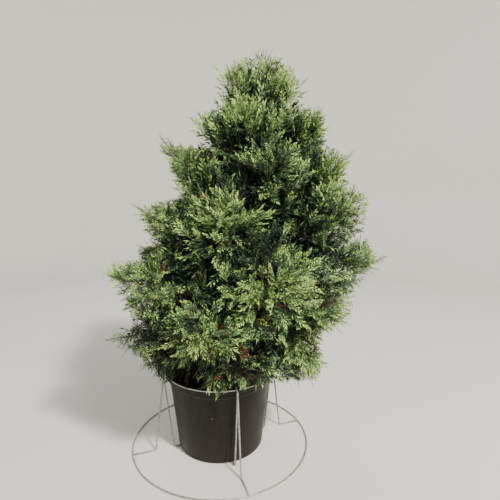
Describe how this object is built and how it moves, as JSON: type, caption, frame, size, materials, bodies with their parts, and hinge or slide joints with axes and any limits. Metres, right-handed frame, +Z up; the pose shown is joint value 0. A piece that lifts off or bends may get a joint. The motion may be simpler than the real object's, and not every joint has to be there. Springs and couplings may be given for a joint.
{
  "type": "potted leyland cypress",
  "caption": "Young leyland cypress in a squat black nursery pot, steadied by a wire stand with a ground ring.",
  "frame": {"origin": "centre of the pot's flat underside, on the surface that it stands on", "axes": "+Z up along the pot's axis; the camera of the picture looks along +Y, so +X is to the right in it, where the tree leans"},
  "size_m": [1.0879, 1.0636, 1.7402],
  "materials": {
    "pot": "satin",
    "soil": "matte",
    "wire": "satin",
    "bark": "matte",
    "foliage": "matte"
  },
  "bodies": {
    "root": {"pot": "pot", "soil": "soil", "stand_right": "wire", "stand_back": "wire", "stand_left": "wire", "stand_front": "wire", "trunk": "bark", "bough_skirt_1": "bark", "bough_skirt_2": "bark", "bough_skirt_3": "bark", "bough_skirt_4": "bark", "bough_skirt_5": "bark", "bough_low_1": "bark", "bough_low_2": "bark", "bough_low_3": "bark", "bough_low_4": "bark", "bough_low_5": "bark", "bough_low_6": "bark", "bough_middle_1": "bark", "bough_middle_2": "bark", "bough_middle_3": "bark", "bough_middle_4": "bark", "bough_middle_5": "bark", "bough_middle_6": "bark", "foliage_skirt_1": "foliage", "foliage_skirt_2": "foliage", "foliage_skirt_3": "foliage", "foliage_skirt_4": "foliage", "foliage_skirt_5": "foliage", "foliage_low_1": "foliage", "foliage_low_2": "foliage", "foliage_low_3": "foliage", "foliage_low_4": "foliage", "foliage_low_5": "foliage", "foliage_low_6": "foliage", "foliage_middle_1": "foliage", "foliage_middle_2": "foliage", "foliage_middle_3": "foliage", "foliage_middle_4": "foliage", "foliage_middle_5": "foliage", "foliage_middle_6": "foliage", "foliage_high_1": "foliage", "foliage_high_2": "foliage", "foliage_high_3": "foliage", "foliage_high_4": "foliage", "foliage_high_5": "foliage", "foliage_high_6": "foliage", "foliage_shoulder_1": "foliage", "foliage_shoulder_2": "foliage", "foliage_shoulder_3": "foliage", "foliage_shoulder_4": "foliage", "foliage_shoulder_5": "foliage", "foliage_shoulder_6": "foliage", "foliage_top_1": "foliage", "foliage_top_2": "foliage", "foliage_top_3": "foliage", "foliage_top_4": "foliage", "foliage_spire_1": "foliage", "foliage_spire_2": "foliage", "foliage_leader": "foliage"}
  },
  "joints": []
}
